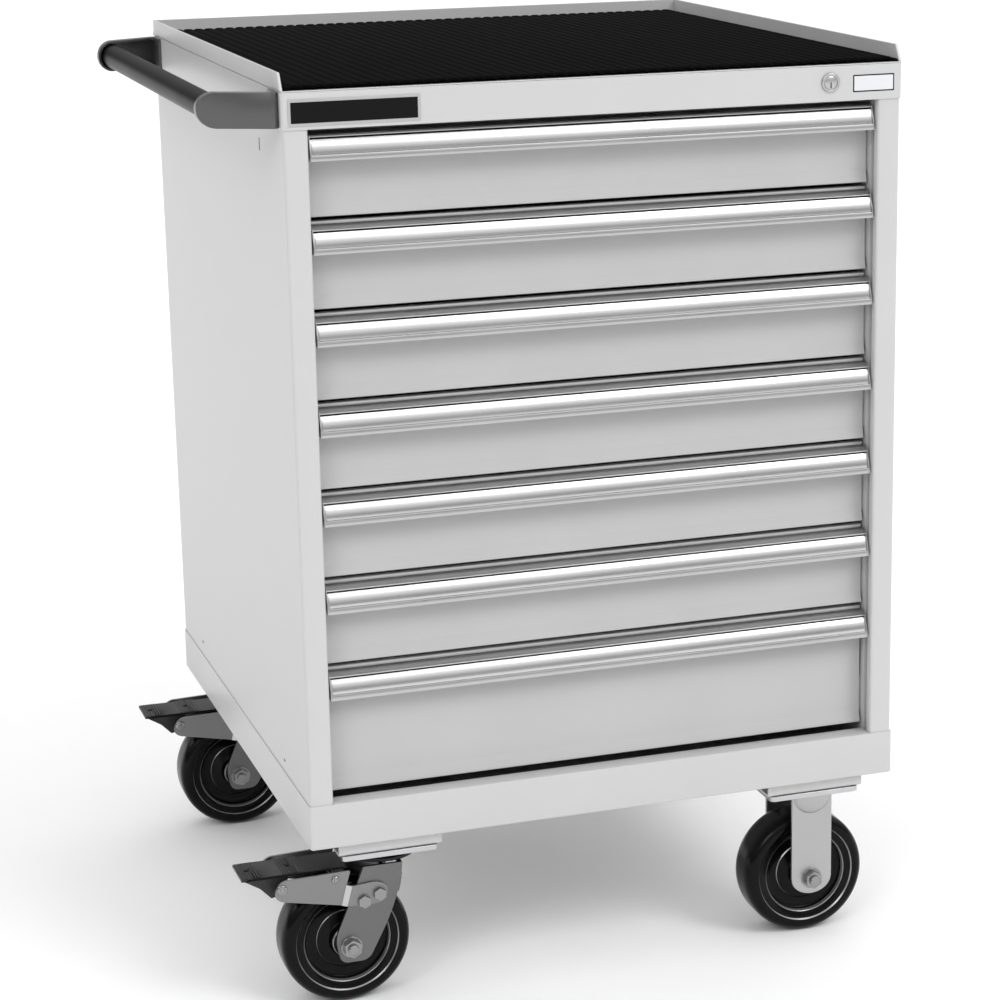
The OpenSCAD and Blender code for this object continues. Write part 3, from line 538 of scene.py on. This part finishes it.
# ---- Swivel caster plates ----
# Each left caster hangs from a zinc-plated mounting plate, held by four low bolts. The
# upper race is riveted under the plate, and a kingpin passes down through it. The races are
# coloured near black: painted shade, for the shade under the plate.
caster_zinc = coat("caster zinc", (0.17, 0.17, 0.172), 0.36, metal=1, grain=900, depth=0.004, patchy=0.04,
                   tint=0.05)
nut_zinc = coat("nut zinc", (0.3, 0.3, 0.305), 0.22, metal=1, grain=900, depth=0.003, patchy=0.04, tint=0.05)
# Near black for the races, painted shade under the plate; the brake covers use it too.
near_black_and_shade = coat("near black with painted shade", (0.006, 0.006, 0.006), 0.3, grain=500, depth=0.01, patchy=0.05,
                  tint=0.1, shine=0.3)
plate_t = 6.35
plate_z = plates_high.z / mm - plate_t
plate_half = (plates_high.x - plates_low.x) / 2 / mm
plate_side = riser_side
upward = Vector((0, 0, 1))


def top_plate(bm, at):
    """A caster's mounting plate with rounded corners."""
    made = block(bm, at(-plate_half, -plate_side, plate_z), at(plate_half, plate_side, seat_z))
    corners = [e for e in {e for v in made for e in v.link_edges}
               if abs(e.verts[0].co.z - e.verts[1].co.z) > 1e-4]
    bmesh.ops.bevel(bm, geom=corners, offset=6 * mm, offset_type="OFFSET", segments=5,
                    profile=0.5, affect="EDGES", material=-1)


def hexagon(bm, centre, axis, across, height):
    """A hexagon head or nut that stands on a face and points along an axis."""
    way = axis.to_track_quat("Z", "Y").to_matrix().to_4x4()
    bmesh.ops.create_cone(bm, cap_ends=True, segments=6, radius1=across / math.sqrt(3) * mm,
                          radius2=across / math.sqrt(3) * mm, depth=height * mm,
                          matrix=Matrix.Translation(centre + axis * height / 2 * mm) @ way)


def plate_bolts(bm, at):
    """Four low flange bolts under a mounting plate."""
    hole_u, hole_v = 46, 38.9
    for u in (-hole_u, hole_u):
        for v in (-hole_v, hole_v):
            turned(bm, [(0, 2.2), (5.4, 2.2), (6.2, 1.6), (9, 1.0), (9.2, 0), (0, 0)],
                   at(u, v, plate_z), -upward, across, 28)


hung = bmesh.new()
races = bmesh.new()
bolts = bmesh.new()
for y in (front_y, rear_y):
    at = beside(left_x, y)
    top_plate(hung, at)
    plate_bolts(bolts, at)
    turned(races, [(8, 0), (30, 0), (33, -0.6), (34, -2), (33.4, -4.2), (31, -4.9), (8, -4.9), (8, 0)],
           at(0, 0, plate_z), upward, across, 64)
    turned(bolts, [(0, 0), (8, 0), (8, -14), (12, -14.2), (13, -15), (13, -17.4), (12, -18.2), (0, -18.2)],
           at(0, 0, plate_z), upward, across, 32)
fit("swivel_top_plates", hung, bright_zinc, "housing", edge=0.7, instead_of=["swivel_plates"])
fit("swivel_upper_races", races, near_black_and_shade, "housing", edge=0.4)
fit("swivel_bolts_and_kingpins", bolts, bright_zinc, "housing", edge=0.3)

# ---- Swivel forks ----
# One thick steel blank is folded down on both sides of a flat crown. Each leg slants to the
# axle, and its rear edge is rolled in for stiffness. The lower race sits on the crown.
wheel_r = (front_high.z - front_low.z) / 2 / mm
trail = left_x - ((front_low.x + front_high.x) / 2 - pan_low.x) / mm
fork_low, fork_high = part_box("swivel_fork_front")
fork_out = (fork_high.y - fork_low.y) / 2 / mm
crown_z = fork_high.z / mm - 7
fork_t = 4.0


def rounded_sheet(bm, points, corners):
    """A flat sheet with an outline whose chosen corners are rounded to given radii."""
    face = bm.faces.new([bm.verts.new(p) for p in points])
    verts = list(face.verts)
    for radius in sorted({r for r in corners if r}):
        picked = [v for v, r in zip(verts, corners) if r == radius and v.is_valid]
        bmesh.ops.bevel(bm, geom=picked, offset=radius * mm, offset_type="OFFSET", segments=6,
                        profile=0.5, affect="VERTICES", material=-1)


def axle_bolt(bm, hub_at):
    """A plain bolt through a fork, with its nut, a washer and the bolt's end in front."""
    forward, back = Vector((0, -1, 0)), Vector((0, 1, 0))
    shank_r, nut_across, washer_t = 6.35, 19, 1.7
    turned(bm, [(0, -fork_out), (shank_r, -fork_out), (shank_r, fork_out), (0, fork_out)],
           hub_at, forward, across, 32)
    turned(bm, [(6.4, 0), (12.6, 0), (12.8, 0.3), (12.8, 1.4), (12.5, washer_t), (6.4, washer_t), (6.4, 0)],
           hub_at + forward * fork_out * mm, forward, across, 40)
    hexagon(bm, hub_at + forward * (fork_out + washer_t) * mm, forward, nut_across, 7.6)
    turned(bm, [(0, 0), (6.3, 0), (6.3, 12.4), (5.3, 13.6), (0, 13.6)],
           hub_at + forward * fork_out * mm, forward, across, 32)
    hexagon(bm, hub_at + back * fork_out * mm, back, nut_across, 7.8)


for end, y in (("front", front_y), ("rear", rear_y)):
    at = beside(left_x, y)
    fork = bmesh.new()
    for hand in (-1, 1):
        v = hand * (fork_out - fork_t / 2)
        outline = [(-31.5, crown_z), (-31.5, 170), (-38, 154), (-66.5, 87.4), (-60.5, 57), (-27.5, 57),
                   (5.5, 120), (12.4, 152), (12.4, crown_z)]
        rounded_sheet(fork, [at(u, v, z) for u, z in outline], [0, 4, 8, 9, 8, 8.5, 30, 8, 0])
        rim = [e for e in fork.edges if len(e.link_faces) == 1
               and abs((e.verts[0].co.y - at(0, v, 0).y)) < 1e-6
               and all(p.co.x > at(6.5, 0, 0).x and p.co.z < (crown_z + 0.1) * mm for p in e.verts)
               and abs(e.verts[0].co.z - e.verts[1].co.z) > 1e-4]
        grown = bmesh.ops.extrude_edge_only(fork, edges=rim)["geom"]
        turned_in = [g for g in grown if isinstance(g, bmesh.types.BMVert)]
        for vert in turned_in:
            share = min(1, max(0.1, (vert.co.z / mm - 120) / 30))
            vert.co += Vector((1.2 * share * mm, -hand * 13 * share * mm, 0))
        fold_line = [e for e in rim if len(e.link_faces) == 2]
        bmesh.ops.bevel(fork, geom=fold_line, offset=5.5 * mm, offset_type="OFFSET", segments=6,
                        profile=0.5, affect="EDGES", clamp_overlap=True, material=-1)
    fit(f"swivel_fork_legs_{end}", fork, caster_zinc, f"swivel_{end}", thick=fork_t, edge=1.4,
        instead_of=[f"swivel_fork_{end}"])
    # The lower race is near black too: painted shade, for the shade under the plate.
    crown = bmesh.new()
    turned(crown, [(9, -3), (31, -3), (35, -1.6), (38, -0.4), (41.2, 0.4), (42, 1.6), (42, 4.4), (41, 4.9),
                   (9, 4.9), (9, -3)], at(0, 0, crown_z + 2.1), upward, across, 64)
    fit(f"swivel_lower_race_{end}", crown, near_black_and_shade, f"swivel_{end}", edge=0.4)

    axle = bmesh.new()
    axle_bolt(axle, at(-trail, 0, wheel_r))
    fit(f"swivel_axle_bolt_{end}", axle, nut_zinc, f"swivel_{end}", edge=0.7,
        instead_of=[f"swivel_axle_{end}"])

# ---- Wheels ----
# Hard black wheels moulded in phenolic resin, with a crowned tread. Each side is dished in
# two steps down to a flat web, and the hub stands out at the middle and runs on the bolt.
phenolic = coat("black phenolic", (0.0025, 0.0025, 0.0026), 0.2, grain=700, depth=0.002, patchy=0.02,
                tint=0.1, shine=0.14)
# A bright metallic finish for narrow bands on the wheel's steps: painted highlight.
ring_highlight = coat("painted ring highlight", (0.3, 0.3, 0.305), 0.3, metal=0.8, grain=500, depth=0.002, patchy=0.05,
                 tint=0.2)
hub_half = 28.4
half_side = [(6.5, hub_half), (15, hub_half), (17.6, hub_half - 0.8), (19, hub_half - 3), (20.6, 17.4),
             (22, 16.2),
             (33.2, 16), (34.4, 15.4), (35, 13.8), (36.6, 13.4), (46.6, 13.8), (48.4, 14.8), (49.6, 17),
             (50.2, 20.4), (51.4, 21.8),
             (58.8, 22.2), (60.2, 22.8), (61.2, 24.8), (62.4, 25.4), (66, 25.4), (69, 24.8), (72, 23),
             (74.4, 19.6), (75.6, 15.6), (76.1, 11), (wheel_r, 5)]
# Narrow bands on the rounded steps take the bright metallic finish: painted highlight rings, for the lights'
# reflections round the steps.
highlight_bands = ((60.2, 61.6), (49.7, 50.9), (34.5, 35.2), (18.2, 19.6))
closed = half_side + [(r, -h) for r, h in reversed(half_side)] + [half_side[0]]
for end, y in (("front", front_y), ("rear", rear_y)):
    for side, x in (("left", left_x - trail), ("right", right_x)):
        wheel = bmesh.new()
        hub = spot(x, y, wheel_r)
        turned(wheel, closed, hub, Vector((0, -1, 0)), across, 120)
        for face in wheel.faces:
            middle = face.calc_center_median()
            r = math.hypot(middle.x - hub.x, middle.z - hub.z) / mm
            face.material_index = int(any(low < r < high for low, high in highlight_bands))
        moulding = fit(f"wheel_moulding_{end}_{side}", wheel, phenolic, f"wheel_{end}_{side}",
                       edge=0, instead_of=[f"wheel_{end}_{side}"])
        moulding.data.materials.append(ring_highlight)

# ---- Brake side plates ----
# A pair of zinc-plated plates runs out from each swivel fork to the pedal. Each is joggled
# out round the fork's leg, and two hexagon bolts hold it. Two pins cross between the plates.
brake_zinc = coat("brake zinc", (0.25, 0.25, 0.252), 0.38, metal=1, grain=900, depth=0.004, patchy=0.04,
                  tint=0.05)
pedal_low, pedal_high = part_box("brake_pedal_front")
pivot_z = pedal_high.z / mm - 13
pivot_u = (pedal_low.x - pan_low.x) / mm + 43 - left_x
arm_v = fork_out - 2.5
tab_v = fork_out + 1.5
black_plastic = coat("black nylon", (0.012, 0.012, 0.0125), 0.4, grain=700, depth=0.03, patchy=0.04, tint=0.1,
                     shine=0.45)
for end, y in (("front", front_y), ("rear", rear_y)):
    at = beside(left_x, y)
    arms = bmesh.new()
    joggles = bmesh.new()
    pins = bmesh.new()
    for hand in (-1, 1):
        near, far = hand * arm_v, hand * tab_v
        rounded_sheet(arms, [at(u, near, z) for u, z in
                             ((pivot_u - 2, pivot_z + 10), (-46, pivot_z + 12.5), (-50.7, pivot_z - 5),
                              (-57, pivot_z - 29), (pivot_u - 5, pivot_z - 14),
                              (pivot_u - 9.5, pivot_z - 4))],
                      [8, 2.5, 0, 0, 7, 6])
        arms.faces.new([arms.verts.new(at(*p)) for p in
                        ((-50.7, near, pivot_z - 5), (-44, far, pivot_z - 5.6), (-50.6, far, pivot_z - 29.6),
                         (-57, near, pivot_z - 29))])
        skim = hand * 1.7
        joggles.faces.new([joggles.verts.new(at(*p)) for p in
                           ((-51.4, near + skim, pivot_z - 5), (-45.2, far + skim, pivot_z - 5.6),
                            (-51.8, far + skim, pivot_z - 29.6), (-57.7, near + skim, pivot_z - 29))])
        rounded_sheet(arms, [at(u, far, z) for u, z in
                             ((-44, pivot_z - 5.6), (-15, pivot_z - 3.2), (-3.6, pivot_z - 10),
                              (-4.6, pivot_z - 26), (-16, pivot_z - 31), (-50.6, pivot_z - 29.6))],
                      [0, 9, 6, 7.5, 10, 0])
        outward = Vector((0, hand, 0))
        for u, z in ((-32.1, pivot_z - 25.6), (-13.6, pivot_z - 18.8)):
            hexagon(pins, at(u, hand * (tab_v + 1.5), z), outward, 13.6, 5)
        for u, z, r in ((pivot_u, pivot_z, 6.2), (-63.8, pivot_z + 3.4, 4.8)):
            turned(pins, [(0, 3.4), (r * 0.45, 3.2), (r * 0.5, 2.2), (r * 0.72, 2.2), (r * 0.94, 1.5), (r, 0),
                          (0, 0)],
                   at(u, hand * (arm_v + 1.5), z), outward, across, 32)
    for u, z, r in ((pivot_u, pivot_z, 3.98), (-63.8, pivot_z + 3.4, 3)):
        turned(pins, [(0, -arm_v), (r, -arm_v), (r, arm_v), (0, arm_v)], at(u, 0, z), Vector((0, 1, 0)),
               across, 24)
    bmesh.ops.remove_doubles(arms, verts=arms.verts, dist=0.01 * mm)
    bends = [e for e in arms.edges if len(e.link_faces) == 2]
    bmesh.ops.bevel(arms, geom=bends, offset=1.2 * mm, offset_type="OFFSET", segments=3,
                    profile=0.5, affect="EDGES", clamp_overlap=True, material=-1)
    fit(f"brake_side_plates_{end}", arms, brake_zinc, f"swivel_{end}", thick=3, edge=1.0,
        instead_of=[f"brake_bracket_{end}"])
    fit(f"brake_joggles_{end}", joggles, bright_zinc, f"swivel_{end}", thick=0.8, edge=0.2)
    fit(f"brake_pins_{end}", pins, nut_zinc, f"swivel_{end}", edge=0.5)

    # A black cover closes the gap between the two plates, over the tread. Its near black is
    # partly its own colour and partly painted shade, for the shade under the housing.
    cover = bmesh.new()
    block(cover, at(-96, -25, pivot_z + 9), at(-45.5, 25, pivot_z + 11.5))
    fit(f"brake_cover_{end}", cover, near_black_and_shade, f"swivel_{end}", edge=0.8)

# ---- Brake pedals ----
# A black nylon pedal rocks on the pin between the side plates. Its pad has cross ribs and a
# small square hole at each end, and a nose below presses on the tread.
pad_x0, pad_x1 = (pedal_low.x - pan_low.x) / mm - left_x, (pedal_high.x - pan_low.x) / mm - left_x
pad_half = (pedal_high.y - pedal_low.y) / 2 / mm
pad_top = pivot_z + 12
for end, y in (("front", front_y), ("rear", rear_y)):
    at = beside(left_x, y)
    pad = bmesh.new()
    holes = (pad_x0 + 10.5, pad_x1 - 14.5)
    hole = 2.6
    stations = [pad_x0] + [h + s * hole for h in holes for s in (-1, 1)] + [pad_x1]
    for count, (u0, u1) in enumerate(zip(stations, stations[1:])):
        spans = [(-pad_half, -hole), (hole, pad_half)] if count % 2 else [(-pad_half, pad_half)]
        for v0, v1 in spans:
            block(pad, at(u0, v0, pad_top - 3), at(u1, v1, pad_top))
    bmesh.ops.remove_doubles(pad, verts=pad.verts, dist=0.01 * mm)
    for start, number in ((pad_x0 + 2.4, 6), (pad_x1 - 24.6, 7)):
        for rib in range(number):
            u = start + rib * 3.4
            blocked = any(abs(u + 0.8 - h) < hole + 0.9 for h in holes)
            for v0, v1 in ([(-pad_half + 0.8, -hole - 0.4), (hole + 0.4, pad_half - 0.8)] if blocked
                           else [(-pad_half + 0.8, pad_half - 0.8)]):
                block(pad, at(u, v0, pad_top - 0.2), at(u + 1.6, v1, pad_top + 0.95))
    fit(f"brake_pedal_pad_{end}", pad, black_plastic, f"pedal_{end}", edge=0.35,
        instead_of=[f"brake_pedal_{end}"])
    web = bmesh.new()
    outline = [(pad_x0 + 3, pad_top - 3), (pivot_u - 22, pivot_z - 2), (pivot_u - 9, pivot_z - 15.6),
               (pivot_u - 3, pivot_z - 14.4), (pivot_u + 6.4, pivot_z - 8), (pivot_u + 12, pad_top - 3)]
    plate(web, [at(u, -pad_half + 0.4, z) for u, z in outline], Vector((0, 2 * (pad_half - 0.4) * mm, 0)))
    fit(f"brake_pedal_body_{end}", web, black_plastic, f"pedal_{end}", edge=1.2)

# ---- Rigid forks ----
# The right pair doesn't turn. Each has two straight legs with rounded ends, welded to the
# mounting plate, and a pressed swelling stiffens the top of each leg.
rigid_zinc = coat("rigid caster zinc", (0.46, 0.46, 0.463), 0.4, metal=1, grain=900, depth=0.004, patchy=0.04,
                  tint=0.04)
leg_half = 26.0
rigid = bmesh.new()
rigid_legs = bmesh.new()
swellings = bmesh.new()
nuts = bmesh.new()
rigid_bolts = bmesh.new()
for y in (front_y, rear_y):
    at = beside(right_x, y)
    top_plate(rigid, at)
    plate_bolts(rigid_bolts, at)
    for hand in (-1, 1):
        v = hand * (fork_out - fork_t / 2)
        foot = [(-leg_half, wheel_r + 1)] + [(leg_half * math.cos(math.radians(a)),
                                              wheel_r + 1 + (leg_half - 5) * math.sin(math.radians(a)))
                                             for a in range(195, 346, 10)] + [(leg_half, wheel_r + 1)]
        rigid_legs.faces.new([rigid_legs.verts.new(at(u, v, z)) for u, z in
                              [(leg_half, plate_z), (-leg_half, plate_z)] + foot])
        bulge = bmesh.ops.create_uvsphere(swellings, u_segments=48, v_segments=24, radius=1)["verts"]
        bmesh.ops.scale(swellings, vec=Vector((24.5 * mm, 8.5 * mm, 24 * mm)), verts=bulge)
        bmesh.ops.translate(swellings, vec=at(0, hand * (fork_out - 1.6), plate_z - 0.5), verts=bulge)
    axle_bolt(nuts, at(0, 0, wheel_r))
bmesh.ops.bisect_plane(swellings, geom=swellings.verts[:] + swellings.edges[:] + swellings.faces[:],
                       plane_co=(0, 0, plate_z * mm), plane_no=(0, 0, 1), clear_outer=True)
bmesh.ops.holes_fill(swellings, edges=[e for e in swellings.edges if len(e.link_faces) == 1], sides=0)
fit("rigid_mounting_plates", rigid, bright_zinc, "housing", edge=0.7, instead_of=["rigid_forks"])
fit("rigid_fork_legs", rigid_legs, rigid_zinc, "housing", thick=fork_t, edge=0.9)
fit("rigid_leg_swellings", swellings, rigid_zinc, "housing", edge=0)
fit("rigid_axles_and_nuts", nuts, nut_zinc, "housing", edge=0.7, instead_of=["rigid_axle_bolts"])
fit("rigid_plate_bolts", rigid_bolts, bright_zinc, "housing", edge=0.3)

# ---- Studio ----
# A pale floor under a soft sky that is brightest overhead, and three wide distant lights,
# from the front left, the front right and the rear. The camera stands front left.
floor_bm = bmesh.new()
bmesh.ops.create_grid(floor_bm, x_segments=1, y_segments=1, size=60)
floor_mesh = bpy.data.meshes.new("studio_floor")
floor_bm.to_mesh(floor_mesh)
floor_bm.free()
floor = bpy.data.objects.new("studio_floor", floor_mesh)
bpy.context.scene.collection.objects.link(floor)
floor_mesh.materials.append(coat("studio floor", (0.965, 0.965, 0.965), 0.8, grain=40, depth=0.001,
                                 patchy=0.02, tint=0.004, shine=0.1))

world = bpy.data.worlds.new("studio")
world.use_nodes = True
sky, sky_links = world.node_tree.nodes, world.node_tree.links
sky["Background"].inputs["Strength"].default_value = 1.2
facing = sky.new("ShaderNodeTexCoord")
height = sky.new("ShaderNodeSeparateXYZ")
sky_links.new(facing.outputs["Generated"], height.inputs["Vector"])
shade = sky.new("ShaderNodeValToRGB")
shade.color_ramp.elements[0].position = 0.08
shade.color_ramp.elements[0].color = (0.147, 0.147, 0.147, 1)
shade.color_ramp.elements[1].position = 0.62
shade.color_ramp.elements[1].color = (1, 1, 1, 1)
for level, grey in ((0, 0.8), (0.04, 0.8), (0.22, 0.367), (0.36, 0.715)):
    shade.color_ramp.elements.new(level).color = (grey, grey, grey, 1)
sky_links.new(height.outputs["Z"], shade.inputs["Fac"])
toward_right = sky.new("ShaderNodeMapRange")
toward_right.inputs["From Min"].default_value = -1
toward_right.inputs["From Max"].default_value = 1
toward_right.inputs["To Min"].default_value = 0.7
toward_right.inputs["To Max"].default_value = 1.15
sky_links.new(height.outputs["X"], toward_right.inputs["Value"])
dimmed = sky.new("ShaderNodeVectorMath")
dimmed.operation = "SCALE"
sky_links.new(shade.outputs["Color"], dimmed.inputs[0])
sky_links.new(toward_right.outputs["Result"], dimmed.inputs["Scale"])
sky_links.new(dimmed.outputs["Vector"], sky["Background"].inputs["Color"])
bpy.context.scene.world = world
bpy.context.scene.view_settings.view_transform = "Standard"


def soft_light(name, toward, strength, spread):
    """A distant light panel that shines one way, and looks as wide as its spread in degrees."""
    lamp = bpy.data.lights.new(name, "SUN")
    lamp.energy = strength
    lamp.angle = math.radians(spread)
    panel = bpy.data.objects.new(name, lamp)
    panel.rotation_euler = Vector(toward).to_track_quat("-Z", "Y").to_euler()
    bpy.context.scene.collection.objects.link(panel)


soft_light("front_left", (0.62, 0.62, -0.62), 0.45, 22)
soft_light("front_right", (-0.45, 0.65, -0.75), 0.75, 22)
soft_light("rear_left", (0.75, -0.55, -0.45), 0.12, 14)

camera = bpy.data.objects.new("camera", bpy.data.cameras.new("camera"))
bpy.context.scene.collection.objects.link(camera)
yaw, pitch, roll = math.radians(19.12), math.radians(14.77), math.radians(0.69)
camera.data.sensor_width = 36
camera.data.lens = 2.7763 * 36
camera.data.shift_x = -0.1
camera.data.shift_y = 0.0022
eye = spot(-646.1, -2871.8, 1381.2)
ahead = Vector((math.sin(yaw) * math.cos(pitch), math.cos(yaw) * math.cos(pitch), -math.sin(pitch)))
rightward = Vector((math.cos(yaw), -math.sin(yaw), 0))
down = ahead.cross(rightward)
level_right = math.cos(roll) * rightward + math.sin(roll) * down
level_down = -math.sin(roll) * rightward + math.cos(roll) * down
turn = Matrix((level_right, -level_down, -ahead)).transposed()
camera.location = eye
camera.rotation_euler = turn.to_euler()
bpy.context.scene.camera = camera
